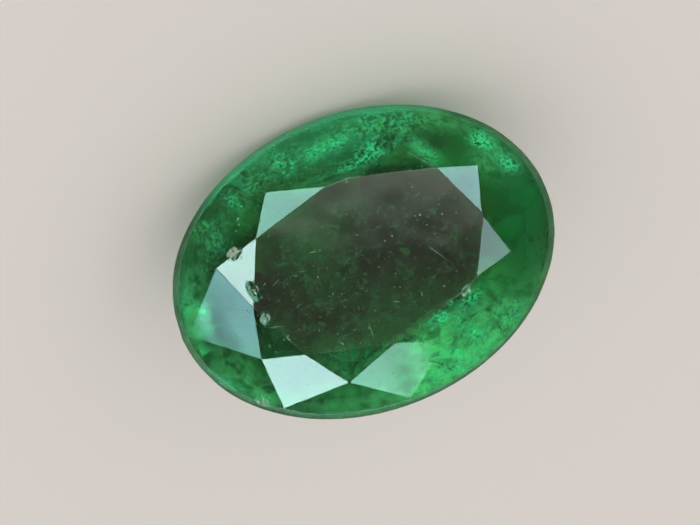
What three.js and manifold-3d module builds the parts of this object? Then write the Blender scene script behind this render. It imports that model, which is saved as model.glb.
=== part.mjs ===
// A loose oval-cut emerald, lying on one facet of its pavilion.
//
// The stone is shaped as a lapidary shapes it: an oval blank with a rounded girdle, from which each
// facet takes away everything outside one plane. It is cut in its own frame, with the girdle's middle
// at z = 0, the table above and the long axis along X, and is then laid down on its rest facet.
// Millimetres, +Z up. The origin is on the surface below the middle of the stone.
import * as THREE from 'three';
import { mergeVertices } from 'three/addons/utils/BufferGeometryUtils.js';
import Module from 'manifold-3d';

// Girdle: a true ellipse seen from above, with a rounded edge left unpolished. Its profile runs up from
// the pavilion to the crown, each point a share of the outline's radius and a height.
const LENGTH = 7.0;
const WIDTH = 5.32;
const GIRDLE_PROFILE = [[0.975, -0.09], [0.995, -0.04], [1, 0.01], [0.995, 0.06], [0.982, 0.13], [0.96, 0.2]];
const GIRDLE_SIDES = 96;

// Crown: an oval brilliant, cut by hand and so not quite regular. The table has eight corners, and each
// star facet has its outer tip between two of them. They run on from each other, first the upper left.
const CROWN_HEIGHT = 0.82;
const TABLE_CORNERS = [
  [-1.60, 1.09], [0.10, 1.54], [1.82, 1.06], [2.28, -0.01],
  [1.72, -1.06], [0.00, -1.55], [-1.56, -1.13], [-2.10, -0.02],
];
const STAR_TIPS = [
  [-1.14, 1.79], [1.27, 1.73], [2.51, 0.83], [2.48, -0.80],
  [0.82, -1.85], [-1.03, -1.88], [-2.31, -0.92], [-2.45, 0.87],
];
const STAR_DROPS = [0.23, 0.19, 0.19, 0.15, 0.23, 0.26, 0.18, 0.21];   // each tip's depth below the table
const CORNER_CUTS = [0, 0.06, 0, 0.02, 0.05, 0.01, 0, 0];    // how much a kite facet takes off its table corner

// Pavilion: three rows of steps, each with a slope from the girdle plane in degrees and a width seen from
// above. The last row ends in a short keel.
const PAVILION_SIDES = 16;
const PAVILION_ROWS = [
  { slope: 56, run: 0.34 },
  { slope: 44, run: 1.35 },
  { slope: 40.5, run: Infinity },
];
const REST_SLOPE = PAVILION_ROWS[1].slope;   // the stone lies on this row's facet at the long side's middle

// Chips in the polished surface: each is a shallow scoop with its centre in the stone's frame, its three
// radii, and how far it is turned about the table's normal, in degrees.
const CHIPS = [
  { centre: [-2.07, 0.97, 1.00], radii: [0.24, 0.12, 0.12], turn: 35 },    // left star, near its outer edge
  { centre: [-2.00, 0.26, 1.08], radii: [0.11, 0.24, 0.16], turn: 12 },    // left edge of the table
  { centre: [-1.98, -0.28, 1.08], radii: [0.09, 0.16, 0.14], turn: -20 },  // corner of the table below it
  { centre: [-2.60, -1.66, 0.30], radii: [0.26, 0.12, 0.16], turn: 30 },   // girdle, lower left
  { centre: [1.48, -1.16, 1.07], radii: [0.16, 0.08, 0.10], turn: 40 },    // table's edge, lower right
];

const EMERALD = { color: 0x23824b, roughness: 0.04, metalness: 0 };

const HALF_LENGTH = LENGTH / 2;
const HALF_WIDTH = WIDTH / 2;
const [LOWER_SHOULDER, LOWER_EDGE] = GIRDLE_PROFILE[0];
const [UPPER_SHOULDER, UPPER_EDGE] = GIRDLE_PROFILE.at(-1);
const TABLE_LEVEL = UPPER_EDGE + CROWN_HEIGHT;
const BLANK_DEPTH = WIDTH;        // more than the pavilion needs
const CUTTER_SIZE = 3 * LENGTH;   // a block larger than the stone

const wasm = await Module();
wasm.setup();

function solidOf(geometry) {
  const bare = geometry.clone();
  bare.deleteAttribute('normal');
  bare.deleteAttribute('uv');
  const merged = mergeVertices(bare, 1e-6);
  return new wasm.Manifold(new wasm.Mesh({
    numProp: 3,
    vertProperties: new Float32Array(merged.attributes.position.array),
    triVerts: new Uint32Array(merged.index.array),
  }));
}

function geometryOf(solid) {
  const mesh = solid.getMesh();
  const geometry = new THREE.BufferGeometry();
  geometry.setAttribute('position', new THREE.BufferAttribute(mesh.vertProperties, 3));
  geometry.setIndex(new THREE.BufferAttribute(mesh.triVerts, 1));
  return geometry;
}

// Takes away what lies outside the plane.
function cutFacet(solid, plane) {
  const block = new THREE.BoxGeometry(CUTTER_SIZE, CUTTER_SIZE, CUTTER_SIZE);
  block.translate(0, 0, CUTTER_SIZE / 2);
  block.applyQuaternion(new THREE.Quaternion().setFromUnitVectors(new THREE.Vector3(0, 0, 1), plane.normal));
  const foot = plane.normal.clone().multiplyScalar(-plane.constant);
  block.translate(foot.x, foot.y, foot.z);
  return solid.subtract(solidOf(block));
}

// A plane through three points, with its normal pointing away from the stone's middle.
function planeThrough(a, b, c) {
  const plane = new THREE.Plane().setFromCoplanarPoints(a, b, c);
  return plane.distanceToPoint(new THREE.Vector3()) > 0 ? plane.negate() : plane;
}

// A point's angle on the circle that the oval is stretched from, and the point at such an angle on an
// ellipse that is a share of the outline.
function ovalAngle(point) {
  return Math.atan2(point.y / HALF_WIDTH, point.x / HALF_LENGTH);
}

function onOval(angle, share, z) {
  return new THREE.Vector3(share * HALF_LENGTH * Math.cos(angle), share * HALF_WIDTH * Math.sin(angle), z);
}

function makeBlank() {
  const profile = [
    [0, -BLANK_DEPTH], [LOWER_SHOULDER, -BLANK_DEPTH],
    ...GIRDLE_PROFILE,
    [UPPER_SHOULDER, 2 * TABLE_LEVEL], [0, 2 * TABLE_LEVEL],
  ];
  const lathe = new THREE.LatheGeometry(profile.map((point) => new THREE.Vector2(...point)), GIRDLE_SIDES);
  lathe.rotateX(Math.PI / 2);
  lathe.scale(HALF_LENGTH, HALF_WIDTH, 1);
  return solidOf(lathe);
}

// Round each table corner there is a star facet, a kite facet that reaches down to the girdle, and two
// upper halves, which fill in below the star's tip.
function cutCrown(blank) {
  const corners = TABLE_CORNERS.map(([x, y]) => new THREE.Vector3(x, y, TABLE_LEVEL));
  const tips = STAR_TIPS.map(([x, y], i) => new THREE.Vector3(x, y, TABLE_LEVEL - STAR_DROPS[i]));
  const count = corners.length;
  const kites = corners.map((corner, i) => {
    const middle = new THREE.Vector3(0, 0, TABLE_LEVEL);
    const inner = corner.clone().addScaledVector(middle.sub(corner).normalize(), CORNER_CUTS[i]);
    return planeThrough(inner, tips[(i + count - 1) % count], tips[i]);
  });
  const feet = kites.map((kite, i) => kiteFoot(kite, tips[(i + count - 1) % count], tips[i]));
  let stone = cutFacet(blank, new THREE.Plane(new THREE.Vector3(0, 0, 1), -TABLE_LEVEL));
  for (let i = 0; i < count; i += 1) {
    const next = (i + 1) % count;
    const below = onOval(ovalAngle(tips[i]), UPPER_SHOULDER, UPPER_EDGE);
    stone = cutFacet(stone, planeThrough(corners[i], corners[next], tips[i]));
    stone = cutFacet(stone, kites[i]);
    stone = cutFacet(stone, planeThrough(tips[i], below, feet[i]));
    stone = cutFacet(stone, planeThrough(tips[i], below, feet[next]));
  }
  return stone;
}

// Where a kite facet comes down to the girdle, midway between the two star tips beside it.
function kiteFoot(kite, tipBefore, tip) {
  const between = onOval(ovalAngle(tipBefore), 1, 0).add(onOval(ovalAngle(tip), 1, 0));
  const foot = onOval(ovalAngle(between), UPPER_SHOULDER, 0);
  foot.z = -kite.distanceToPoint(foot) / kite.normal.z;
  return foot;
}

// Each row's facets lean in from the line where the row above them ends, which keeps the same distance
// from the outline all round.
function cutPavilion(blank) {
  let stone = blank;
  let inset = 0;
  let level = LOWER_EDGE;
  for (const row of PAVILION_ROWS) {
    const slope = THREE.MathUtils.degToRad(row.slope);
    for (let i = 0; i < PAVILION_SIDES; i += 1) {
      const angle = 2 * Math.PI * i / PAVILION_SIDES;
      const edge = onOval(angle, LOWER_SHOULDER, level);
      const outward = new THREE.Vector3(Math.cos(angle) / HALF_LENGTH, Math.sin(angle) / HALF_WIDTH, 0);
      outward.normalize();
      edge.addScaledVector(outward, -inset);
      const normal = outward.clone().multiplyScalar(Math.sin(slope));
      normal.z = -Math.cos(slope);
      stone = cutFacet(stone, new THREE.Plane().setFromNormalAndCoplanarPoint(normal, edge));
    }
    inset += row.run;
    level -= row.run * Math.tan(slope);
  }
  return stone;
}

function cutChips(stone) {
  return CHIPS.reduce((left, chip) => {
    const scoop = new THREE.SphereGeometry(1, 20, 14);
    scoop.scale(...chip.radii);
    scoop.rotateZ(THREE.MathUtils.degToRad(chip.turn));
    scoop.translate(...chip.centre);
    return left.subtract(solidOf(scoop));
  }, stone);
}

function makeEmerald() {
  const stone = cutChips(cutPavilion(cutCrown(makeBlank())));
  const emerald = new THREE.Mesh(geometryOf(stone), new THREE.MeshStandardMaterial(EMERALD));
  emerald.name = 'emerald';
  return emerald;
}

// Tips the stone back onto its rest facet, turns its table to the front, and stands it over the origin.
function layDown(mesh) {
  mesh.rotation.set(-THREE.MathUtils.degToRad(REST_SLOPE), 0, Math.PI, 'ZYX');
  mesh.updateMatrixWorld(true);
  const box = new THREE.Box3().setFromObject(mesh, true);
  const middle = box.getCenter(new THREE.Vector3());
  mesh.position.set(-middle.x, -middle.y, -box.min.z);
  return mesh;
}

const stoneAtRest = new THREE.Group();
stoneAtRest.add(layDown(makeEmerald()));

export default stoneAtRest;
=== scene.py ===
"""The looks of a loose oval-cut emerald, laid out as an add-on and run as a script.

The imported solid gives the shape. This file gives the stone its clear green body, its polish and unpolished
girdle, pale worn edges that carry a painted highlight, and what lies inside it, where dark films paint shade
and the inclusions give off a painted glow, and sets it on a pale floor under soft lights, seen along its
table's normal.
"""

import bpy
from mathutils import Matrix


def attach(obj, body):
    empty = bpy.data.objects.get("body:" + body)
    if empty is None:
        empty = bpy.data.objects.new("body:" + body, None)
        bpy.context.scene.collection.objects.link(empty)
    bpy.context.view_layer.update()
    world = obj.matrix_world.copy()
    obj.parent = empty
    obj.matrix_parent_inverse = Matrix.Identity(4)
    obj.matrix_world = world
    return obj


bl_info = {
    "name": "Oval emerald",
    "version": (1, 0, 0),
    "blender": (4, 5, 0),
    "location": "View3D > Sidebar > Emerald",
    "description": "Finishes a cut emerald, grows the inclusions inside it and lights it on a pale floor",
    "category": "Object",
}

import math
import random

import bmesh
import bpy
from bpy.props import FloatProperty, FloatVectorProperty, IntProperty, PointerProperty
from mathutils import Matrix, Quaternion, Vector
from mathutils.bvhtree import BVHTree

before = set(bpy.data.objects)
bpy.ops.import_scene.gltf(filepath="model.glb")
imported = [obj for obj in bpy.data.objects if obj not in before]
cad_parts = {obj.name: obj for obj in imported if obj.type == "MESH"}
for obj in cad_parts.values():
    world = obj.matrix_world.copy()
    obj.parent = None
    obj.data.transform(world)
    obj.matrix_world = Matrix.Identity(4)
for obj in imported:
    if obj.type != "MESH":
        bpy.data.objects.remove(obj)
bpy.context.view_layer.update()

MM = 0.001

# The photograph, in its 700 x 525 frame: the girdle's middle, its length, and the lean of its long axis.
PHOTO_WIDTH_PX = 700
PHOTO_HEIGHT_PX = 525
GIRDLE_MIDDLE_PX = (363.4, 261.9)
GIRDLE_LENGTH_PX = 393.7
LONG_AXIS_LEAN = math.radians(21.96)

# The cut stone in its own frame, in millimetres.
GIRDLE_BELOW_TABLE = 1.02
HALF_LENGTH = 3.5
HALF_WIDTH = 2.66
GIRDLE_TOP = 0.2            # the rounded girdle's ends, from its middle
GIRDLE_FOOT = -0.12
GIRDLE_START = 0.966        # share of the outline where the facets give way to it
STAR_LEVEL = 0.88           # above this lie the table's edges and the star facets'
FLOOR_GAP = 0.003 * MM      # air between the floor and the facet that lies on it
FLOOR_REACH = 400 * MM
BODY = "root"
STONE_NODE = "emerald"


class StoneFrame:
    """The cut stone's own axes: x along its length, y across it, z out of its table."""

    def __init__(self, mesh):
        areas = {}
        for face in mesh.polygons:
            key = tuple(round(c, 3) for c in face.normal)
            areas[key] = areas.get(key, 0) + face.area
        self.z = Vector(max(areas, key=areas.get)).normalized()
        self.x = Vector((-1, 0, 0))
        self.y = self.z.cross(self.x)
        corners = [v.co for v in mesh.vertices]
        spans = [[axis.dot(c) for c in corners] for axis in (self.x, self.y)]
        middle = [(min(span) + max(span)) / 2 for span in spans]
        top = max(self.z.dot(c) for c in corners)
        self.origin = self.x * middle[0] + self.y * middle[1] + self.z * (top - GIRDLE_BELOW_TABLE * MM)
        self.length = max(spans[0]) - min(spans[0])

    def point(self, x, y, z):
        """A point given in millimetres in the stone's own frame."""
        return self.origin + (self.x * x + self.y * y + self.z * z) * MM

    def seen(self, right, up):
        """A direction given by how far it goes to the right and up in the photograph."""
        c, s = math.cos(LONG_AXIS_LEAN), math.sin(LONG_AXIS_LEAN)
        return self.x * (right * c + up * s) + self.y * (up * c - right * s)


class PhotoView:
    """Where the photograph was taken from, and what lies behind each of its pixels."""

    def __init__(self, stone_frame, lens, sensor):
        self.pixel = stone_frame.length / GIRDLE_LENGTH_PX
        self.right = stone_frame.seen(1, 0)
        self.up = stone_frame.seen(0, 1)
        self.back = stone_frame.z
        self.distance = PHOTO_WIDTH_PX * self.pixel * lens / sensor
        self.aim = stone_frame.origin - self.offset(*GIRDLE_MIDDLE_PX)
        self.place = self.aim + self.back * self.distance

    def offset(self, column, row):
        """How far a pixel lies from the photograph's middle, on the girdle's plane."""
        off_right = (column - PHOTO_WIDTH_PX / 2) * self.pixel
        off_up = (PHOTO_HEIGHT_PX / 2 - row) * self.pixel
        return self.right * off_right + self.up * off_up

    def pixel_of(self, place):
        """The column and row at which a place near the girdle's plane shows."""
        off = place - self.aim
        return (PHOTO_WIDTH_PX / 2 + off.dot(self.right) / self.pixel,
                PHOTO_HEIGHT_PX / 2 - off.dot(self.up) / self.pixel)

    def sight(self, column, row):
        """The direction from the camera to a pixel."""
        return (self.aim + self.offset(column, row) - self.place).normalized()


LENS = 400                  # millimetres, as is the sensor
SENSOR_WIDTH = 36
REFRACTIVE_INDEX = 1.578    # emerald

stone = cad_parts[STONE_NODE]
stone_frame = StoneFrame(stone.data)
view = PhotoView(stone_frame, LENS, SENSOR_WIDTH)


class Field:
    """A socket's value on which arithmetic adds Math nodes."""

    def __init__(self, paint, socket):
        self.paint = paint
        self.socket = socket

    def _math(self, operation, *values):
        node = self.paint.node("ShaderNodeMath", {"operation": operation}, dict(enumerate(values)))
        return Field(self.paint, node.outputs[0])

    def __add__(self, other):
        return self._math("ADD", self, other)

    def __sub__(self, other):
        return self._math("SUBTRACT", self, other)

    def __rsub__(self, other):
        return self._math("SUBTRACT", other, self)

    def __mul__(self, other):
        return self._math("MULTIPLY", self, other)

    def __truediv__(self, other):
        return self._math("DIVIDE", self, other)

    def __pow__(self, other):
        return self._math("POWER", self, other)

    def above(self, edge, softness):
        """Nought below the edge and one above it, with a soft step between."""
        return self.mapped(edge - softness, edge + softness)

    def mapped(self, low, high, to_low=0.0, to_high=1.0):
        node = self.paint.node(
            "ShaderNodeMapRange", {"interpolation_type": "SMOOTHSTEP"},
            {"Value": self, "From Min": low, "From Max": high, "To Min": to_low, "To Max": to_high},
        )
        return Field(self.paint, node.outputs["Result"])

    __radd__ = __add__
    __rmul__ = __mul__


class Paint:
    """The emptied node tree of a material, light or world, and the one way to add nodes to it."""

    def __init__(self, owner, output="ShaderNodeOutputMaterial"):
        owner.use_nodes = True
        self.owner = owner
        self.tree = owner.node_tree
        self.tree.nodes.clear()
        self.output = self.node(output)

    @classmethod
    def material(cls, name):
        return cls(bpy.data.materials.new(name))

    def node(self, kind, settings=None, inputs=None):
        node = self.tree.nodes.new(kind)
        for key, value in (settings or {}).items():
            setattr(node, key, value)
        for key, value in (inputs or {}).items():
            self.feed(self.named(node.inputs, key), value)
        return node

    @staticmethod
    def named(sockets, key):
        """A socket by its place or its name, or by its identifier where several share a name."""
        for socket in sockets:
            if socket.identifier == key:
                return socket
        return sockets[key]

    def feed(self, socket, value):
        """Links a socket or sets its value, where a colour may be given as red, green and blue alone."""
        if isinstance(value, Field):
            value = value.socket
        if isinstance(value, bpy.types.NodeSocket):
            self.tree.links.new(value, socket)
        else:
            socket.default_value = (*value, 1) if socket.type == "RGBA" else value

    def position(self):
        return self.node("ShaderNodeNewGeometry").outputs["Position"]

    def along(self, vector, axis, origin):
        """How far a position lies along an axis from an origin, in millimetres."""
        moved = self.node("ShaderNodeVectorMath", {"operation": "SUBTRACT"}, {0: vector, 1: origin})
        return self.measure("DOT_PRODUCT", moved.outputs["Vector"], axis / MM)

    def measure(self, operation, first, second):
        """The dot product of two vectors, or the distance between them."""
        node = self.node("ShaderNodeVectorMath", {"operation": operation}, {0: first, 1: second})
        return Field(self, node.outputs["Value"])

    def noise(self, vector, size_mm, detail=3.0, roughness=0.55, stretch=(1, 1, 1)):
        mapping = self.node("ShaderNodeMapping", {}, {"Vector": vector, "Scale": stretch})
        texture = self.node("ShaderNodeTexNoise", {}, {
            "Vector": mapping.outputs["Vector"], "Scale": 1 / (size_mm * MM),
            "Detail": detail, "Roughness": roughness,
        })
        return Field(self, texture.outputs["Fac"])

    def mix(self, factor, first, second, kind="Color"):
        """A blend of two colours, or of two vectors where the kind is Vector."""
        data_type = "RGBA" if kind == "Color" else "VECTOR"
        inputs = {"Factor_Float": factor, f"A_{kind}": first, f"B_{kind}": second}
        node = self.node("ShaderNodeMix", {"data_type": data_type}, inputs)
        return self.named(node.outputs, f"Result_{kind}")

    def near(self, vector, centre, radius_mm):
        """One near a centre, falling softly to nought at a radius."""
        reach = radius_mm * MM
        return self.measure("DISTANCE", vector, centre).mapped(0.6 * reach, reach, 1, 0)

    def bump(self, height, distance_mm, normal):
        inputs = {"Strength": 1, "Distance": distance_mm * MM, "Height": height, "Normal": normal}
        return self.node("ShaderNodeBump", {}, inputs).outputs["Normal"]

    def finish(self, surface, volume=None):
        self.feed(self.output.inputs["Surface"], surface.outputs[0])
        if volume:
            self.feed(self.output.inputs["Volume"], volume.outputs[0])
        return self.owner


def colour_property(name, description, default):
    return FloatVectorProperty(
        name=name, description=description, default=default, subtype="COLOR", min=0, max=1)


def number_property(name, description, default):
    return FloatProperty(name=name, description=description, default=default, min=0)


class StoneSettings(bpy.types.PropertyGroup):
    transmitted: colour_property("Body colour", "Share of light that is not absorbed", (0.025, 0.805, 0.537))
    density: number_property("Depth of colour", "Absorption per metre of path", 820)
    index: number_property("Refractive index", "About 1.58 for emerald", REFRACTIVE_INDEX)
    polish: number_property("Polish", "Roughness of the facets", 0.03)
    back: number_property("Polish below", "Roughness of the pavilion's facets", 0.06)
    # The rounding of the worn edges, which also sets how wide their pale matt line is
    wear: number_property("Worn edges", "Rounding of the facets' edges in millimetres", 0.026)
    frost: colour_property("Frosted girdle", "Colour of the unpolished edge", (0.24, 0.6, 0.27))
    frosting: number_property("Frosting", "How matt the girdle is", 0.26)
    # The chips' colour is also laid along the worn edges as a pale line: a painted highlight
    broken: colour_property("Broken places", "Colour of the chips", (0.48, 0.62, 0.5))
    breakage: number_property("Breakage", "How matt the chips are", 0.65)
    # How much of that pale matt colour the worn edges take: partly scuffing, partly a painted highlight
    scuffing_and_highlight: number_property("Scuffing", "How matt the worn edges are", 0.4)
    girdle: number_property("Girdle roughness", "Roughness of the unpolished edge", 0.4)


class StudioSettings(bpy.types.PropertyGroup):
    floor: colour_property("Floor", "Colour of the pale floor", (0.8, 0.74, 0.69))
    card_low: colour_property("Card below", "Light of the dim card, low down", (0.22, 0.21, 0.17))
    card_high: colour_property("Card above", "Light of its upper part", (0.88, 0.95, 0.83))
    glow: number_property("Room light", "Strength of the light from all round", 0.15)
    room: number_property("Light on the floor", "Room light on what is matt", 0.85)
    backlight: number_property("Light through", "Room light seen through the stone", 0.75)
    shade: number_property("Shade above", "Share of it left above the table", 0.03)


class EMERALD_OT_stone(bpy.types.Operator):
    """Finishes the cut stone: clear green body, polished facets and an unpolished girdle"""
    bl_idname = "emerald.stone"
    bl_label = "Cut stone"

    def execute(self, context):
        stone.data.materials.clear()
        stone.data.materials.append(paint_stone(context.scene.emerald_stone))
        return {"FINISHED"}


# Where the surface is broken, in the stone's frame, and how far round there, in millimetres.
BREAKS = [
    (-2.07, 0.97, 0.92, 0.24), (-2, 0.26, 1, 0.16), (-1.98, -0.28, 1, 0.14),
    (-2.60, -1.66, 0.26, 0.24), (1.48, -1.16, 1, 0.14),
]
# Unevenness of the surface: its size and its height in millimetres.
WAVES = (0.9, 0.003)         # everywhere
RIPPLES = (0.5, 0.007)       # on the pavilion
GRAIN = (0.05, 0.03)         # on the girdle
FROST_PATCHES = 0.7          # sizes of other changes over the surface, in millimetres
CHIP_RAGGEDNESS = 0.08
# Size of the breaks in the worn edges' pale line of scuffing and painted highlight
SCUFF_AND_HIGHLIGHT_LENGTH = 0.9
FINISH_STEP = 0.03           # over which one finish gives way to the next
OUTLINE_STEP = 0.008         # the same as a share of the outline
SCUFF_AND_HIGHLIGHT_TURN = (0.0015, 0.012)    # how far the normal turns where the worn edges' pale matt colour, scuffing and painted highlight, starts and is full
CHIP_LEVEL = (1.51, 0.05)    # what a place has to reach to be broken, and how softly


def paint_stone(settings):
    paint = Paint.material("emerald body")
    place = paint.position()
    height = paint.along(place, stone_frame.z, stone_frame.origin)
    out_x = paint.along(place, stone_frame.x, stone_frame.origin) / HALF_LENGTH
    out_y = paint.along(place, stone_frame.y, stone_frame.origin) / HALF_WIDTH
    radius = (out_x * out_x + out_y * out_y) ** 0.5
    girdle = radius.above(GIRDLE_START, OUTLINE_STEP) * (1 - height.above(GIRDLE_TOP, FINISH_STEP))
    girdle = girdle * height.above(GIRDLE_FOOT, FINISH_STEP)
    uneven = paint.noise(place, FROST_PATCHES, detail=3).mapped(0.38, 0.62, 0.4, 1)
    pavilion = 1 - height.above(GIRDLE_FOOT, FINISH_STEP)
    grain = paint.noise(place, GRAIN[0], detail=2)
    broken = [paint.near(place, stone_frame.point(*spot), reach) for *spot, reach in BREAKS]
    ragged = paint.noise(place, CHIP_RAGGEDNESS, detail=3, stretch=(1, 0.5, 1))
    breaks = (sum(broken) + ragged).above(*CHIP_LEVEL)
    waves = paint.noise(place, WAVES[0], detail=1)
    ripples = paint.noise(place, RIPPLES[0], detail=1.5, roughness=0.5)
    worn = paint.node("ShaderNodeBevel", {"samples": 4}, {"Radius": settings.wear * MM}).outputs["Normal"]
    sharp = paint.node("ShaderNodeNewGeometry").outputs["Normal"]
    # Worn edges: the bevel's normal rounds them, and a pale matt colour along them paints a highlight line on
    # them
    edges = (1 - paint.measure("DOT_PRODUCT", worn, sharp)).mapped(*SCUFF_AND_HIGHLIGHT_TURN)
    edges = edges * (height.above(STAR_LEVEL, 0.04) + pavilion * 0.5)
    scuffs_and_highlight = paint.noise(place, SCUFF_AND_HIGHLIGHT_LENGTH, detail=4).mapped(0.42, 0.62, 0.1, 1)
    normal = paint.bump(waves, WAVES[1], paint.mix(pavilion, worn, sharp, "Vector"))
    normal = paint.bump(ripples * pavilion, RIPPLES[1], normal)
    normal = paint.bump(grain * girdle, GRAIN[1], normal)
    rougher = girdle * (settings.girdle - settings.polish) + pavilion * (settings.back - settings.polish)
    surface = paint.node("ShaderNodeBsdfPrincipled", {}, {
        "Base Color": (1, 1, 1),
        "Roughness": rougher + settings.polish,
        "IOR": settings.index,
        "Transmission Weight": 1,
        "Normal": normal,
    })
    dim_frost = [c * 0.5 for c in settings.frost]
    frost = paint.mix(grain.mapped(0.3, 0.7), dim_frost, settings.frost)
    frosted = paint.node("ShaderNodeBsdfPrincipled", {}, {
        "Base Color": paint.mix(breaks + edges, frost, settings.broken),
        "Roughness": 0.5,
        "Normal": normal,
    })
    # Matt where the girdle is unpolished, where chips are, and along the worn edges, whose pale line is
    # scuffing and painted highlight
    matt = girdle * uneven * settings.frosting + breaks * settings.breakage
    matt = matt + edges * scuffs_and_highlight * settings.scuffing_and_highlight
    surface = paint.node("ShaderNodeMixShader", {}, {
        0: matt, 1: surface.outputs["BSDF"], 2: frosted.outputs["BSDF"],
    })
    body = paint.node("ShaderNodeVolumeAbsorption", {}, {
        "Color": settings.transmitted, "Density": settings.density,
    })
    return paint.finish(surface, body)


def add_object(name, data):
    made = bpy.data.objects.new(name, data)
    bpy.context.collection.objects.link(made)
    return made


def add_mesh(name, points, faces, material):
    mesh = bpy.data.meshes.new(name)
    mesh.from_pydata(points, [], faces)
    mesh.materials.append(material)
    return add_object(name, mesh)


FLAKE_THICKNESS = 0.012           # these three are shares of a flake's width
FLAKE_BEND = 0.3
FLAKE_UNEVENNESS = 0.05
FLAKE_RINGS = (1.0, 0.7, 0.35)    # shares of its reach, from the rim inwards
FLAKE_MIDDLE_COVER = 0.45         # how dense it is at its middle, and how much denser at one side
FLAKE_SIDE_COVER = 0.55


class Cluster:
    """Many small closed forms gathered into one mesh."""

    def __init__(self, seed):
        self.random = random.Random(seed)
        self.points = []
        self.faces = []
        self.cover = []

    def add(self, points, faces, cover=None):
        start = len(self.points)
        self.points.extend(points)
        self.cover.extend(cover or [1.0] * len(points))
        self.faces.extend(tuple(start + i for i in face) for face in faces)

    def axes(self, normal=None):
        """Three square axes, the third along the normal, or any way round without one."""
        turn = self.random.uniform(0, 2 * math.pi)
        if normal is None:
            normal = Vector([self.random.gauss(0, 1) for _ in range(3)]).normalized()
        side = normal.orthogonal().normalized()
        side.rotate(Quaternion(normal, turn))
        return side, normal.cross(side), normal

    def crystal(self, middle, radii, normal=None):
        """A lumpy grain: the twelve corners of an icosahedron, pushed about and stretched."""
        x, y, z = self.axes(normal)
        points = []
        for corner in ICOSAHEDRON:
            bulge = self.random.uniform(0.7, 1.15)
            a, b, c = (corner[i] * radii[i] * bulge for i in range(3))
            points.append(middle + x * a + y * b + z * c)
        self.add(points, ICOSAHEDRON_FACES)

    def needle(self, start, end, width):
        """A thin four-sided spindle between two points."""
        along = (end - start).normalized()
        side = along.orthogonal().normalized() * width / 2
        other = along.cross(side)
        waist = start.lerp(end, self.random.uniform(0.35, 0.65))
        ring = [waist + side, waist + other, waist - side, waist - other]
        faces = [(0, 2 + (i + 1) % 4, 2 + i) for i in range(4)]
        faces += [(1, 2 + i, 2 + (i + 1) % 4) for i in range(4)]
        self.add([start, end, *ring], faces)

    def flake(self, middle, length, width, normal, along, sides=16):
        """A ragged thin plate, gently dished, that is densest at one side of its rim and fades across it."""
        x = (along - normal * along.dot(normal)).normalized()
        y = normal.cross(x)
        bend = self.random.uniform(-FLAKE_BEND, FLAKE_BEND)
        dense_side = self.random.uniform(0, 2 * math.pi)
        rows = {share: ([], []) for share in FLAKE_RINGS}
        for i in range(sides):
            angle = 2 * math.pi * i / sides
            reach = self.random.uniform(0.55, 1.0)
            lean = math.cos(angle - dense_side)
            for share, (ring, cover) in rows.items():
                u = math.cos(angle) * reach * share
                v = math.sin(angle) * reach * share
                uneven = self.random.uniform(-FLAKE_UNEVENNESS, FLAKE_UNEVENNESS) * width * share
                sag = bend * width * (u * u + v * v) / 2 + uneven
                ring.append(middle + x * u * length / 2 + y * v * width / 2 + normal * sag)
                dense = FLAKE_MIDDLE_COVER * (share < 1) + FLAKE_SIDE_COVER * lean * share
                cover.append(max(0.0, dense))
        (rim, rim_cover), *others = rows.values()
        lift = normal * FLAKE_THICKNESS * width
        points = [middle + lift, middle - lift, *rim]
        covers = [FLAKE_MIDDLE_COVER] * 2 + rim_cover
        for ring, cover in others:
            points += [p + lift for p in ring] + [p - lift for p in ring]
            covers += cover * 2
        faces = []
        edge, outer_top, outer_low, inner_top, inner_low = (2 + sides * k for k in range(5))
        for i in range(sides):
            j = (i + 1) % sides
            faces += [(0, inner_top + i, inner_top + j), (1, inner_low + j, inner_low + i)]
            faces += [(inner_top + i, outer_top + i, outer_top + j, inner_top + j)]
            faces += [(inner_low + j, outer_low + j, outer_low + i, inner_low + i)]
            faces += [(outer_top + i, edge + i, edge + j, outer_top + j)]
            faces += [(outer_low + j, edge + j, edge + i, outer_low + i)]
        self.add(points, faces, covers)

    def shell(self, rows, covers, thickness):
        """A closed thin sheet over rings of points, each ring going once round."""
        count = len(rows[0])
        points, cover = [], []
        for side in (0.5, -0.5):
            for row, row_cover in zip(rows, covers):
                points += [p + view.back * side * thickness for p in row]
                cover += row_cover
        faces = []
        below = count * len(rows)
        last = count * (len(rows) - 1)
        for i in range(count):
            j = (i + 1) % count
            for k in range(0, last, count):
                faces.append((k + i, k + j, k + count + j, k + count + i))
                faces.append((below + k + count + i, below + k + count + j, below + k + j, below + k + i))
            faces.append((i, below + i, below + j, j))
            faces.append((last + j, below + last + j, below + last + i, last + i))
        self.add(points, faces, cover)

    def piece(self, name, material):
        """Makes the cluster a piece that keeps its cover."""
        piece = add_mesh(name, self.points, self.faces, material)
        piece.data.attributes.new("cover", "FLOAT", "POINT").data.foreach_set("value", self.cover)
        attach(piece, BODY)


def icosahedron():
    """The corners of an icosahedron of radius one, and its faces."""
    mesh = bmesh.new()
    bmesh.ops.create_icosphere(mesh, subdivisions=1, radius=1)
    corners = [tuple(v.co) for v in mesh.verts]
    faces = [tuple(v.index for v in f.verts) for f in mesh.faces]
    mesh.free()
    return corners, faces


SKIN = 0.001 * MM    # how far below the surface a ray goes on


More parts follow.
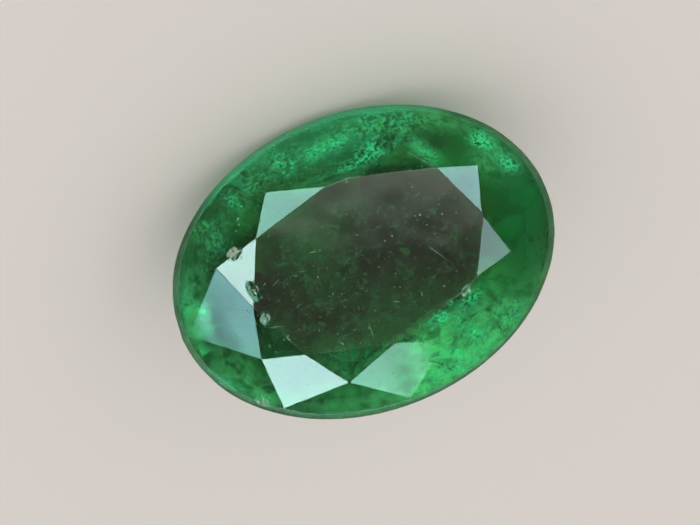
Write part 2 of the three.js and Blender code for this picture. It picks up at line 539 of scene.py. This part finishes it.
class Depths:
    """Finds places inside the stone from where they show in the photograph."""

    def __init__(self):
        corners = [v.co for v in stone.data.vertices]
        self.tree = BVHTree.FromPolygons(corners, [p.vertices[:] for p in stone.data.polygons])

    def below(self, column, row, depth):
        """The place that shows at a pixel, a depth in millimetres along the sight line bent by the surface.

        Where the stone is thin it lies no deeper than half-way through.
        """
        sight = view.sight(column, row)
        hit, normal, _, _ = self.tree.ray_cast(view.place, sight)
        if hit is None:
            return None
        squeeze = 1 / REFRACTIVE_INDEX
        facing = -sight.dot(normal)
        bent = sight * squeeze + normal * (squeeze * facing - math.sqrt(1 - squeeze ** 2 * (1 - facing ** 2)))
        room = self.tree.ray_cast(hit + bent * SKIN, bent)[3]
        return hit + bent * min(depth * MM, room / 2)

    def slope(self, column, row):
        """The normal of the surface that shows at a pixel."""
        return self.tree.ray_cast(view.place, view.sight(column, row))[1]

    def inside(self, place, margin):
        """Whether a place lies inside the stone, some millimetres below its surface."""
        if place is None:
            return False
        near, normal, _, distance = self.tree.find_nearest(place)
        return distance > margin * MM and (place - near).dot(normal) < 0


HUNDREDTH = 0.01 * MM
# Specks that show through the table: column, row and size in hundredths of a millimetre.
TABLE_SPECKS = [
    (420, 215, 3), (442, 214, 3), (427, 225, 2.4), (392, 236, 2.6), (385, 241, 2.4), (357, 235, 1.8),
    (296, 276, 2.4), (320, 250, 1.6), (333, 294, 3), (369, 328, 2.4), (444, 286, 2.6), (400, 287, 1.8),
    (238, 219, 4.2), (239, 225, 2.6), (236, 231, 2), (288, 336, 2.2), (284, 340, 2), (305, 347, 2.6),
    (343, 344, 2.8), (318, 277, 2), (341, 343, 2),
]
# Needles there, each from one pixel to another.
TABLE_NEEDLES = [
    ((427, 245), (450, 262)), ((262, 327), (285, 327)), ((368, 322), (374, 338)), ((279, 279), (272, 287)),
    ((266, 283), (262, 287)), ((421, 291), (423, 297)), ((308, 253), (318, 251)), ((286, 336), (291, 342)),
    ((392, 301), (401, 302)),
]
# Dark cracks under the crown, each from one pixel to another.
DARK_CRACKS = [
    ((428, 361), (436, 362)), ((436, 362), (446, 366)), ((446, 366), (456, 373)),
    ((378, 389), (381, 380)), ((284, 158), (290, 168)), ((402, 372), (396, 378)),
    ((498, 325), (504, 333)), ((470, 318), (478, 312)),
]
# Healed cracks under the crown: column, row, length and width in pixels, bearing in degrees, depth in
# millimetres.
CRACKS = [
    (322, 146, 44, 15, 22, 0.25), (288, 165, 22, 13, -50, 0.2), (236, 198, 22, 10, -60, 0.25),
    (482, 141, 20, 15, -20, 0.15), (508, 163, 18, 10, 30, 0.2), (442, 316, 20, 9, 20, 0.2),
    (458, 321, 14, 5, 80, 0.2), (475, 334, 22, 15, -40, 0.2), (456, 354, 16, 9, 20, 0.2),
    (437, 358, 14, 4, 5, 0.15), (204, 312, 7, 9, 70, 0.2), (395, 124, 22, 4, 5, 0.15),
    (385, 152, 26, 8, 15, 0.35), (505, 322, 18, 12, 45, 0.3), (342, 170, 14, 7, 30, 0.3),
    (447, 302, 14, 10, 60, 0.3), (455, 372, 22, 7, 20, 0.2),
]
CRACK_LEAN = 0.2    # how far a crack's normal strays from the surface's
# Where the films under the crown are dense: column, row, length and width in pixels, bearing in degrees, and
# how dense.
MILKY_SPOTS = [
    (326, 182, 76, 15, 15, 0.3), (430, 387, 44, 24, 28, 0.5), (397, 154, 40, 20, 0, 0.16),
    (202, 230, 40, 44, 0, 0.16), (287, 340, 34, 30, 0, 0.1), (242, 214, 24, 30, 0, 0.16),
    (352, 362, 30, 24, 0, 0.1), (500, 318, 60, 64, 50, 0.6), (478, 352, 70, 44, 40, 0.62),
    (440, 378, 60, 36, 25, 0.6), (430, 340, 64, 32, 35, 0.8), (445, 362, 40, 34, 20, 0.6),
    (385, 396, 70, 34, 10, 0.25), (325, 403, 90, 30, 0, 0.22), (235, 372, 70, 50, -50, 0.28),
    (262, 395, 50, 26, -30, 0.3), (195, 286, 34, 60, -10, 0.2), (204, 312, 16, 22, 0, 0.5),
    (190, 330, 26, 70, 5, 0.32), (216, 386, 70, 20, -42, 0.3), (440, 121, 90, 18, -16, 0.4),
    (491, 158, 44, 34, -40, 0.5), (385, 124, 80, 24, 5, 0.5), (329, 145, 90, 26, 28, 0.3),
    (262, 172, 70, 26, 40, 0.35), (213, 225, 60, 30, 60, 0.2), (424, 150, 50, 16, -40, 0.4),
    (535, 290, 20, 60, -15, 0.2),
]
MINT_SPOTS = [
    (329, 145, 60, 11, 28, 1), (385, 122, 56, 14, 3, 0.6), (282, 163, 24, 12, -52, 1),
    (230, 199, 24, 10, -52, 0.7), (254, 184, 8, 8, 0, 0.8), (352, 165, 34, 14, 35, 0.6),
    (371, 151, 30, 16, 42, 0.9), (424, 151, 36, 10, -42, 0.6), (481, 141, 22, 17, -45, 1),
    (508, 165, 22, 12, -25, 0.9), (203, 312, 9, 17, 5, 1), (440, 319, 20, 11, 25, 1),
    (460, 323, 6, 14, 0, 0.8), (479, 336, 32, 20, -42, 0.7), (456, 352, 15, 10, 15, 0.9),
    (514, 318, 20, 32, -15, 0.35), (438, 352, 44, 4, 2, 0.5), (452, 366, 50, 4, -16, 0.5),
    (428, 374, 44, 5, 8, 0.5), (470, 362, 44, 16, 30, 0.3), (440, 378, 50, 20, 25, 0.25),
    (228, 385, 34, 12, -35, 0.5), (263, 399, 14, 8, -20, 0.9), (214, 240, 20, 34, 20, 0.3),
    (188, 300, 14, 50, 0, 0.3), (497, 152, 40, 12, -38, 0.4), (470, 300, 24, 12, 45, 0.7),
]
SPECKLED_SPOTS = [
    (262, 180, 120, 44, 38, 0.7), (385, 125, 100, 26, 5, 0.8), (340, 165, 70, 24, 30, 0.6),
    (205, 240, 44, 80, 20, 0.5), (485, 335, 70, 60, 40, 0.12), (512, 308, 30, 50, 0, 0.25),
    (235, 370, 60, 40, -45, 0.3), (440, 380, 70, 30, 25, 0.12), (470, 155, 60, 24, -30, 0.4),
    (325, 400, 80, 24, 0, 0.2),
]
DEEP_SPOTS = [
    (518, 184, 76, 60, -52, 1), (538, 235, 46, 100, -8, 0.9), (520, 282, 44, 50, 0, 0.7),
    (455, 143, 70, 36, -30, 0.45), (398, 156, 46, 28, 0, 0.4), (244, 214, 40, 30, 60, 0.4),
    (546, 300, 24, 70, -20, 0.5),
]
# Patches of painted shade under the crown, standing in for shaded fissures
OLIVE_SHADE_SPOTS = [
    (312, 173, 74, 22, 18, 0.75), (246, 214, 50, 24, 62, 0.45), (398, 158, 40, 24, 0, 0.4),
    (452, 146, 44, 22, -30, 0.6), (488, 206, 34, 14, -62, 0.7), (492, 272, 44, 18, 28, 0.6),
    (280, 186, 60, 14, 14, 0.6), (340, 130, 20, 8, 20, 0.5), (400, 402, 60, 20, 8, 0.5),
    (540, 250, 16, 80, -5, 0.3), (325, 388, 40, 16, 10, 0.4), (290, 140, 60, 12, 30, 0.4),
]
# The same for the green film under the table.
FERN_SPOTS = [
    (353, 368, 46, 40, -10, 1), (330, 352, 40, 22, -20, 0.35), (393, 345, 80, 16, 22, 0.7),
    (434, 320, 60, 16, 30, 0.7), (276, 338, 30, 40, 20, 0.32), (308, 243, 70, 54, 20, 0.35),
    (372, 330, 90, 30, 18, 0.14), (290, 215, 40, 24, 30, 0.3), (418, 322, 110, 34, 27, 0.25),
    (390, 300, 80, 50, 20, 0.14), (345, 205, 70, 26, 10, 0.14), (330, 290, 60, 40, 0, 0.14),
    (345, 370, 60, 30, -20, 0.25), (400, 340, 60, 20, 20, 0.2), (440, 285, 30, 20, 40, 0.06),
]
CROWN_DEPTHS = (0.42, 0.15)    # millimetres below the crown, by the table and by the girdle
TABLE_DEPTHS = (0.55, 0.45)    # and below the table, at its middle and its edge
EDGE_RISE = 0.3                # share of its depth that a film has at the table's edge
EDGE_SLOPE = 6                 # how steeply it rises to that
RIM_START = 0.75               # share of its width from which a film without spots thins, and by how much
RIM_THINNING = 0.65
CROWN_ENDS = 0.985             # where the crown's films end, and how far they reach in under the table
CROWN_OVERLAP = 0.01
FILM_START = 0.03              # where the table's films start, and how far they run
FILM_RUN = 0.965
SEARCH_START = 0.3             # where the search for the table's edge starts, and its step
SEARCH_STEP = 0.004
TABLE_FACING = 0.998           # how squarely the table faces the camera, and the star facets beside it
DARK_STAR_FACING = 0.88
DARK_STARS = (181, 269)        # the two dark ones, as angles from the long axis
RING_SIDES = 200
RINGS = 16
FILM_THICKNESS = 0.006 * MM
# Pits in the polish: column, row and size in hundredths of a millimetre.
PITS = [
    (218.7, 317, 3.6), (247.5, 310.5, 3.9), (231, 305, 2.7), (249.5, 312.5, 3), (261, 317, 3.6),
    (228, 286, 2.4), (222, 291, 2.1), (240, 322, 2.1), (227, 263, 2.4), (234, 266, 2.4),
]
# Clouds of small grains under the crown: column, row, reach in pixels, how many.
CLOUDS = [
    (325, 143, 22, 60), (300, 160, 20, 30), (262, 178, 18, 26), (236, 205, 18, 30), (212, 235, 14, 24),
    (205, 262, 14, 24), (210, 300, 14, 24), (365, 150, 18, 30), (392, 128, 24, 30), (430, 150, 20, 20),
    (345, 172, 12, 16), (470, 320, 24, 40), (500, 310, 18, 36), (445, 345, 24, 30), (400, 385, 26, 16),
    (300, 402, 30, 16), (235, 375, 20, 24), (520, 250, 18, 10), (490, 175, 18, 16), (262, 395, 10, 12),
]


# Depths, widths and radii of small things in millimetres: least, most and likeliest.
SPECK_DEPTHS = (0.1, 0.35)
NEEDLE_DEPTHS = (0.1, 0.4)
NEEDLE_TILT = 0.05
NEEDLE_WIDTH = 0.01
WISP_WIDTHS = (0.008, 0.016)
DUST_DEPTHS = (0.06, 0.4)
DUST_RADII = (0.004, 0.018, 0.007)
GRAIN_DEPTHS = (0.05, 0.8, 0.2)
GRAIN_RADII = (0.004, 0.02, 0.007)
DARK_CRACK_DEPTH = 0.06
DARK_CRACK_WIDTH = 0.022
TABLE_MARGIN = 0.04            # least depth of what is scattered
CROWN_MARGIN = 0.03
# Where it is scattered under the table, in the photograph's pixels.
WISP_MIDDLE = (300, 305)
WISP_REACH = (45, 40)
WISP_HALF_LENGTH = 4
DUST_COLUMNS = (250, 485)
DUST_ROWS = (165, 385)
DUST_AT_TOP = 0.4              # share of it in the top row, with all of it in the last


class InclusionSettings(bpy.types.PropertyGroup):
    dust: IntProperty(name="Dust", description="How many fine specks show through the table", default=400)
    wisps: IntProperty(name="Wisps", description="How many short needles lie at its lower left", default=46)
    dark: colour_property("Dark grains", "Colour of the dark grains and pits", (0.02, 0.07, 0.02))
    milk: colour_property("Milky film", "Colour of the milky film", (0.15, 0.76, 0.25))
    fleck: colour_property("Flecks", "Colour of the dark flecks under the crown", (0.03, 0.19, 0.05))
    # Painted shade: the olive film darkens patches of the crown, standing in for shaded fissures
    olive_shade: colour_property("Olive film", "Colour of the film that darkens the crown", (0.085, 0.31, 0.06))
    pale: colour_property("Grains", "Colour of the pale grains", (0.66, 0.75, 0.62))
    dull: colour_property("Dust", "Colour of the fine specks under the table", (0.22, 0.3, 0.19))
    mint: colour_property("Cracks", "Colour of the healed cracks and their grains", (0.09, 0.87, 0.4))
    # Brown patches in the dark film of painted shade under the table
    umber: colour_property("Umber", "Brown part of the film under the table", (0.085, 0.08, 0.04))
    deep: colour_property("Deep film", "Colour of the film that evens out the crown", (0.013, 0.28, 0.062))
    # Painted shade: the dark film under the table darkens it as the shade above the table does
    painted_shade: colour_property("Dusk", "Dark part of the film under the table", (0.005, 0.014, 0.002))
    # Green patches in that film of painted shade
    moss: colour_property("Moss", "Green part of the film under the table", (0.036, 0.15, 0.055))
    fern: colour_property("Green film", "Colour of the green places under the table", (0.055, 0.36, 0.11))
    # How dense the painted shade under the table is
    painted_shade_density: number_property("Depth of dusk", "How dense the film under the table is", 0.9)
    # Painted glow: the milky film, the healed cracks, their grains and the mint film give off light of their
    # own colour, as if lit from within
    milk_painted_glow: number_property("Milky gleam", "Light that the milky film gathers", 0.17)
    painted_glow: number_property("Gleam", "Light that the cracks gather and give off", 0.22)


class EMERALD_OT_grains(bpy.types.Operator):
    """Scatters the grains, needles, pits and dark cracks that show through the table and the crown"""
    bl_idname = "emerald.grains"
    bl_label = "Grains and needles"

    def execute(self, context):
        settings = context.scene.emerald_inclusions
        depths = Depths()
        # The pale grains, the dust and the mint grains give off a painted glow; the dark grains give none
        make_table_specks(depths, paint_grains("pale grain", settings.pale, 0.08, dullest=0.7))
        make_dust(depths, settings, paint_grains("dull grain", settings.dull, 0.02))
        mint = paint_grains("mint grain", settings.mint, settings.painted_glow)
        make_crown_grains(depths, "crown_grains", 23, 0.5, mint)
        dark = paint_grains("dark grain", settings.dark, 0)
        make_crown_grains(depths, "dark_grains", 29, 0.25, dark)
        make_pits(depths, dark)
        make_dark_cracks(depths, dark)
        return {"FINISHED"}


GRAIN_PATCHES = 0.12    # size of the brighter patches among the grains, in millimetres


def matt_surface(paint, tint, painted_glow, alpha=1):
    """A matt finish that gives off a little of its own colour as a painted glow."""
    return paint.node("ShaderNodeBsdfPrincipled", {}, {
        "Base Color": tint, "Roughness": 1, "Specular IOR Level": 0,
        "Emission Color": tint, "Emission Strength": painted_glow, "Alpha": alpha,
    })


def paint_grains(name, colour, painted_glow, dullest=0.25):
    """Grains that give off a painted glow of their own colour, down to a share of it in the dullest patches.
    """
    paint = Paint.material(name)
    patches = paint.noise(paint.position(), GRAIN_PATCHES, detail=2).mapped(0.4, 0.62)
    dull = [c * dullest for c in colour]
    return paint.finish(matt_surface(paint, paint.mix(patches, dull, colour), painted_glow))


def make_table_specks(depths, material):
    cluster = Cluster(seed=11)
    pick = cluster.random
    for column, row, size in TABLE_SPECKS:
        middle = depths.below(column, row, pick.uniform(*SPECK_DEPTHS))
        radius = size * HUNDREDTH / 2
        cluster.crystal(middle, (radius * 1.5, radius, radius))
    for spots in TABLE_NEEDLES:
        depth = pick.uniform(*NEEDLE_DEPTHS)
        ends = [depths.below(*spot, depth + pick.uniform(-NEEDLE_TILT, NEEDLE_TILT)) for spot in spots]
        cluster.needle(*ends, NEEDLE_WIDTH * MM)
    cluster.piece("table_specks", material)


def make_dust(depths, settings, material):
    """Fine specks all over the table, and short needles that gather at its lower left."""
    cluster = Cluster(seed=13)
    pick = cluster.random
    for _ in range(settings.wisps):
        spot = [pick.gauss(*spread) for spread in zip(WISP_MIDDLE, WISP_REACH)]
        depth = pick.uniform(*SPECK_DEPTHS)
        pixels = [[pick.gauss(place, WISP_HALF_LENGTH) for place in spot] for _ in range(2)]
        ends = [depths.below(*pixel, depth) for pixel in pixels]
        if all(depths.inside(end, TABLE_MARGIN) for end in ends):
            cluster.needle(*ends, pick.uniform(*WISP_WIDTHS) * MM)
    top, foot = DUST_ROWS
    made = 0
    while made < settings.dust:
        column, row = pick.uniform(*DUST_COLUMNS), pick.uniform(top, foot)
        kept = pick.random() < DUST_AT_TOP + (1 - DUST_AT_TOP) * (row - top) / (foot - top)
        middle = depths.below(column, row, pick.uniform(*DUST_DEPTHS))
        if kept and depths.inside(middle, TABLE_MARGIN):
            radius = pick.triangular(*DUST_RADII) * MM
            cluster.crystal(middle, (radius * pick.uniform(1, 2.5), radius, radius))
            made += 1
    cluster.piece("table_dust", material)


def make_crown_grains(depths, name, seed, share, material):
    cluster = Cluster(seed)
    pick = cluster.random
    for column, row, reach, count in CLOUDS:
        for _ in range(round(count * share)):
            spot = (pick.gauss(column, reach / 2), pick.gauss(row, reach / 2))
            middle = depths.below(*spot, pick.triangular(*GRAIN_DEPTHS))
            if depths.inside(middle, CROWN_MARGIN):
                radius = pick.triangular(*GRAIN_RADII) * MM
                cluster.crystal(middle, (radius * pick.uniform(1, 2), radius, radius * 0.6))
    cluster.piece(name, material)


def make_pits(depths, material):
    cluster = Cluster(seed=67)
    for column, row, size in PITS:
        radius = size * HUNDREDTH / 2
        flat = (radius, radius * 0.7, radius * 0.2)
        cluster.crystal(depths.below(column, row, 0), flat, depths.slope(column, row))
    cluster.piece("pits", material)


def make_dark_cracks(depths, material):
    cluster = Cluster(seed=71)
    for spots in DARK_CRACKS:
        cluster.needle(*(depths.below(*spot, DARK_CRACK_DEPTH) for spot in spots), DARK_CRACK_WIDTH * MM)
    cluster.piece("dark_cracks", material)


class EMERALD_OT_cracks(bpy.types.Operator):
    """Sets the healed cracks and cloudy films inside the stone: some films paint shade, some give off a
    painted glow
    """
    bl_idname = "emerald.cracks"
    bl_label = "Healed cracks and films"

    def execute(self, context):
        settings = context.scene.emerald_inclusions
        depths = Depths()
        # The healed cracks, the milky film and the mint film give off a painted glow
        mint = paint_film("healed crack", [settings.mint], settings.painted_glow, 0.9, 0.07)
        make_cracks(depths, mint)
        # The dark film under the table is painted shade, with moss and umber patches in it
        tones = [settings.painted_shade, settings.moss, settings.umber]
        painted_shade = paint_film("painted shade film", tones, 0, settings.painted_shade_density, 0.16, thinnest=0.8)
        make_film(depths, "painted_shade_film", table_rings, 0, None, painted_shade)
        fern = paint_film("green film", [settings.fern], 0, 0.9, 0.14, thinnest=0.45)
        make_film(depths, "green_film", table_rings, 0.1, FERN_SPOTS, fern)
        # Painted shade in patches under the crown
        olive_shade = paint_film("olive film", [settings.olive_shade], 0, 0.75, 0.12, thinnest=0.35)
        make_film(depths, "olive_shade_film", crown_rings, 0, OLIVE_SHADE_SPOTS, olive_shade)
        deep = paint_film("deep film", [settings.deep], 0, 0.92, 0.3, thinnest=0.8)
        make_film(depths, "deep_film", crown_rings, -0.03, DEEP_SPOTS, deep)
        milk = paint_film("milky film", [settings.milk], settings.milk_painted_glow, 0.9, 0.22, thinnest=0.25)
        make_film(depths, "milky_film", crown_rings, 0.03, MILKY_SPOTS, milk)
        fine = paint_film("mint film", [settings.mint], settings.painted_glow, 0.85, 0.06, edges=(0.42, 0.58))
        make_film(depths, "mint_film", crown_rings, 0.06, MINT_SPOTS, fine)
        specks = paint_film("speckled film", [settings.fleck], 0, 0.85, 0.06, edges=(0.47, 0.6))
        make_film(depths, "speckled_film", crown_rings, 0.09, SPECKLED_SPOTS, specks)
        return {"FINISHED"}


BLEND_SIZES = (0.2, 0.15)      # of the patches of a film's further colours, in millimetres
BLEND_EDGES = (0.49, 0.63)     # noise between which one colour gives way to the next


def paint_film(name, colours, painted_glow, densest, size_mm, thinnest=0.0, edges=(0.36, 0.6)):
    """A patchy film, as dense as its cover says, with its further colours in patches over the first."""
    paint = Paint.material(name)
    patches = paint.noise(paint.position(), size_mm, detail=4, roughness=0.6).mapped(*edges, thinnest, 1)
    cover = Field(paint, paint.node("ShaderNodeAttribute", {"attribute_name": "cover"}).outputs["Fac"])
    tint = colours[0]
    for colour, blend_size in zip(colours[1:], BLEND_SIZES):
        blend = paint.noise(paint.position(), blend_size, detail=5, roughness=0.65).mapped(*BLEND_EDGES)
        tint = paint.mix(blend, tint, colour)
    return paint.finish(matt_surface(paint, tint, painted_glow, cover * patches * densest))


def make_cracks(depths, material):
    """Flat flakes that lie nearly along the surface above them."""
    cluster = Cluster(seed=37)
    pick = cluster.random
    for column, row, length, width, bearing, depth in CRACKS:
        middle = depths.below(column, row, depth)
        angle = math.radians(bearing)
        along = view.right * math.cos(angle) + view.up * math.sin(angle)
        lean = Vector([pick.gauss(0, CRACK_LEAN) for _ in range(3)])
        normal = (depths.slope(column, row) + lean).normalized()
        cluster.flake(middle, length * view.pixel, width * view.pixel, normal, along)
    cluster.piece("healed_cracks", material)


def oval_pixel(angle, share):
    """The pixel at a share of the stone's outline, at an angle from its long axis."""
    along, across = HALF_LENGTH * share * math.cos(angle), HALF_WIDTH * share * math.sin(angle)
    return view.pixel_of(stone_frame.point(along, across, 0))


def table_end(depths, angle):
    """The share of the outline at which the table ends, with the two dark star facets at its lower left."""
    least = DARK_STAR_FACING if DARK_STARS[0] < math.degrees(angle) < DARK_STARS[1] else TABLE_FACING
    share = SEARCH_START
    while depths.slope(*oval_pixel(angle, share)).dot(view.back) > least:
        share += SEARCH_STEP
    return share


def table_rings(depths, angle):
    """Shares of the outline from the middle of the table to its edge."""
    end = table_end(depths, angle)
    return [end * (FILM_START + FILM_RUN * i / (RINGS - 1)) for i in range(RINGS)]


def crown_rings(depths, angle):
    """Shares of the outline from the table's edge to the girdle."""
    start = table_end(depths, angle) - CROWN_OVERLAP
    return [start + (CROWN_ENDS - start) * i / (RINGS - 1) for i in range(RINGS)]


def density(spots, column, row):
    """How dense a film is at a pixel, from soft ovals."""
    total = 0
    for middle_column, middle_row, length, width, bearing, dense in spots:
        angle = math.radians(bearing)
        right, up = column - middle_column, middle_row - row
        along = (right * math.cos(angle) + up * math.sin(angle)) / (length / 2)
        across = (up * math.cos(angle) - right * math.sin(angle)) / (width / 2)
        total += dense * math.exp(-along ** 2 - across ** 2)
    return min(1, total)


def make_film(depths, name, rings_at, lift, spots, material):
    """A thin sheet inside the stone, lifted by some millimetres, that rises to the table's edge.

    It is dense at its spots, or without them all over but thinner at its rim, as the dark film of painted
    shade under the table is.
    """
    cluster = Cluster(seed=61)
    spokes = []
    for i in range(RING_SIDES):
        angle = 2 * math.pi * i / RING_SIDES
        spokes.append([oval_pixel(angle, share) for share in rings_at(depths, angle)])
    table_edge, depth_ends = (1, TABLE_DEPTHS) if rings_at is table_rings else (0, CROWN_DEPTHS)
    first, last = (depth - lift for depth in depth_ends)
    rings, covers = [], []
    for k in range(RINGS):
        part = k / (RINGS - 1)
        rise = min(1, max(EDGE_RISE, EDGE_SLOPE * abs(part - table_edge)))
        depth = (first + (last - first) * part) * rise
        ring = [spoke[k] for spoke in spokes]
        rings.append([depths.below(*pixel, depth) for pixel in ring])
        thinned = 1 - RIM_THINNING * max(0, part - RIM_START) / (1 - RIM_START)
        covers.append([thinned if spots is None else density(spots, *pixel) for pixel in ring])
    cluster.shell(rings, covers, FILM_THICKNESS)
    cluster.piece(name, material)


# A softbox for each bright facet: its height and bearing in degrees, seen from the stone, and the red, green
# and blue of its light.
SOFTBOXES = {
    "low front": ((3, -80), (4.3, 9.1, 7.8)),
    "front left": ((23, -128), (4.6, 7.4, 7.8)),
    "left": ((52, -136), (3.15, 4.35, 4.75)),
    "front right": ((26, -55), (9.8, 14.2, 13.9)),
    "far right": ((48, 38), (8.2, 13.0, 12.9)),
    "far": ((60, 75), (3.9, 9.0, 7.0)),
    "right": ((20.6, -16.8), (3.3, 7.2, 7.4)),
}
SOFTBOX_DISTANCE = 60 * MM
# Shade on the light through the stone: where it is, and how many degrees from there it starts and is full.
SHADE_BEARING = (36, -90)
SHADE_EDGES = (64, 51)
# Dimmer light up behind the stone: where it is, how many degrees round there, and down to what share.
DIM_BEARING = (60, 90)
DIM_REACH = 60
DIM_SHARE = 0.55
SOFTBOX_SIDE = 18 * MM
SOFTBOX_FADE = 0.12    # share of the side over which its rim fades
CARD_BEYOND_CAMERA = 60 * MM
CARD_SIDE = 60 * MM
CARD_STRENGTH = 2
CARD_FADE = (-0.3, 4.6)    # millimetres above its middle between which it brightens


class EMERALD_OT_studio(bpy.types.Operator):
    """Makes the pale floor, the soft lights and the camera"""
    bl_idname = "emerald.studio"
    bl_label = "Studio"

    def execute(self, context):
        settings = context.scene.emerald_studio
        make_floor(settings)
        for name, (bearing, colour) in SOFTBOXES.items():
            make_softbox(name, bearing, colour)
        make_world(context.scene, settings)
        make_card(settings)
        make_camera(context.scene)
        set_render(context.scene)
        return {"FINISHED"}


def make_floor(settings):
    paint = Paint.material("pale floor")
    surface = paint.node("ShaderNodeBsdfPrincipled", {}, {
        "Base Color": settings.floor, "Roughness": 0.8, "Specular IOR Level": 0.2,
    })
    square = ((-1, -1), (1, -1), (1, 1), (-1, 1))
    corners = [(FLOOR_REACH * x, FLOOR_REACH * y, -FLOOR_GAP) for x, y in square]
    floor = add_mesh("floor", corners, [(0, 1, 2, 3)], paint.finish(surface))
    floor.visible_glossy = False


def direction(height, bearing):
    """The way to a height and a bearing in degrees, where -90 is to the front."""
    height, bearing = math.radians(height), math.radians(bearing)
    flat = math.cos(height)
    return Vector((flat * math.cos(bearing), flat * math.sin(bearing), math.sin(height)))


def make_softbox(name, bearing, colour):
    """A small square light that only the polish shows."""
    way = direction(*bearing)
    light = bpy.data.lights.new(name, "AREA")
    light.size = SOFTBOX_SIDE
    light.energy = math.pi * SOFTBOX_SIDE ** 2
    paint = Paint(light, "ShaderNodeOutputLight")
    spot = paint.node("ShaderNodeNewGeometry").outputs["Parametric"]
    away = paint.measure("DISTANCE", spot, (0.5, 0.5, 0))
    fade = away.mapped(0.5 - SOFTBOX_FADE, 0.5, 1, 0)
    paint.finish(paint.node("ShaderNodeEmission", {}, {"Color": colour, "Strength": fade}))
    holder = add_object(name, light)
    holder.location = stone_frame.origin + way * SOFTBOX_DISTANCE
    holder.rotation_euler = way.to_track_quat("Z", "Y").to_euler()
    holder.visible_transmission = False
    holder.visible_diffuse = False


def make_card(settings):
    """A dim card behind the camera, which the table mirrors, brighter towards the photograph's top."""
    middle = view.place + view.back * CARD_BEYOND_CAMERA
    paint = Paint.material("dim card")
    lit = paint.along(paint.position(), view.up, middle).mapped(*CARD_FADE)
    colour = paint.mix(lit, settings.card_low, settings.card_high)
    light = paint.node("ShaderNodeEmission", {}, {"Color": colour, "Strength": CARD_STRENGTH})
    half = CARD_SIDE / 2
    square = ((-half, -half), (-half, half), (half, half), (half, -half))
    corners = [middle + view.right * u + view.up * v for u, v in square]
    card = add_mesh("card", corners, [(0, 1, 2, 3)], paint.finish(light))
    card.visible_transmission = False
    card.visible_diffuse = False


def make_world(scene, settings):
    """A room that lights what is matt, and shows less in the polish and through the stone."""
    scene.world = bpy.data.worlds.new("room")
    paint = Paint(scene.world, "ShaderNodeOutputWorld")
    way = paint.node("ShaderNodeTexCoord").outputs["Generated"]
    above = paint.measure("DOT_PRODUCT", way, direction(*SHADE_BEARING))
    bright_from, dark_to = (math.cos(math.radians(angle)) for angle in SHADE_EDGES)
    shade = above.mapped(bright_from, dark_to, 1, settings.shade)
    behind = paint.measure("DOT_PRODUCT", way, direction(*DIM_BEARING))
    shade = shade * behind.mapped(math.cos(math.radians(DIM_REACH)), 1, 1, DIM_SHARE)
    path = paint.node("ShaderNodeLightPath")
    through = Field(paint, path.outputs["Is Transmission Ray"])
    matt = Field(paint, path.outputs["Diffuse Depth"]).mapped(0, 1)
    seen = through * (shade * settings.backlight - settings.glow) + settings.glow
    strength = matt * (settings.room - seen) + seen
    scene.world.cycles.sampling_method = "NONE"
    paint.finish(paint.node("ShaderNodeBackground", {}, {"Color": (1, 1, 1), "Strength": strength}))


def make_camera(scene):
    camera = add_object("camera", bpy.data.cameras.new("camera"))
    camera.data.lens = LENS
    camera.data.sensor_width = SENSOR_WIDTH
    camera.data.clip_start = 1 * MM
    turn = Matrix((view.right, view.up, view.back)).transposed().to_4x4()
    camera.matrix_world = Matrix.Translation(view.place) @ turn
    scene.camera = camera


def set_render(scene):
    """Plain colours, and light paths long enough to come out of the stone again."""
    scene.view_settings.view_transform = "Standard"
    scene.cycles.max_bounces = 20
    scene.cycles.glossy_bounces = 16
    scene.cycles.transmission_bounces = 20
    scene.cycles.transparent_max_bounces = 24


class EMERALD_PT_panel(bpy.types.Panel):
    """Lists the steps that dress the stone"""
    bl_label = "Emerald"
    bl_space_type = "VIEW_3D"
    bl_region_type = "UI"
    bl_category = "Emerald"

    def draw(self, context):
        for name, (_, *operators) in STEPS.items():
            group = getattr(context.scene, name)
            for setting in group.__annotations__:
                self.layout.prop(group, setting)
            for operator in operators:
                self.layout.operator(operator.bl_idname)


ICOSAHEDRON, ICOSAHEDRON_FACES = icosahedron()
# Each group of settings, with the steps that use it.
STEPS = {
    "emerald_stone": (StoneSettings, EMERALD_OT_stone),
    "emerald_inclusions": (InclusionSettings, EMERALD_OT_grains, EMERALD_OT_cracks),
    "emerald_studio": (StudioSettings, EMERALD_OT_studio),
}
CLASSES = (*sum(STEPS.values(), ()), EMERALD_PT_panel)


def register():
    for cls in CLASSES:
        bpy.utils.register_class(cls)
    for name, (group, *_) in STEPS.items():
        setattr(bpy.types.Scene, name, PointerProperty(type=group))


def unregister():
    for name in STEPS:
        delattr(bpy.types.Scene, name)
    for cls in reversed(CLASSES):
        bpy.utils.unregister_class(cls)


def main():
    register()
    bpy.ops.emerald.stone()
    bpy.ops.emerald.grains()
    bpy.ops.emerald.cracks()
    bpy.ops.emerald.studio()


if __name__ == "__main__":
    main()
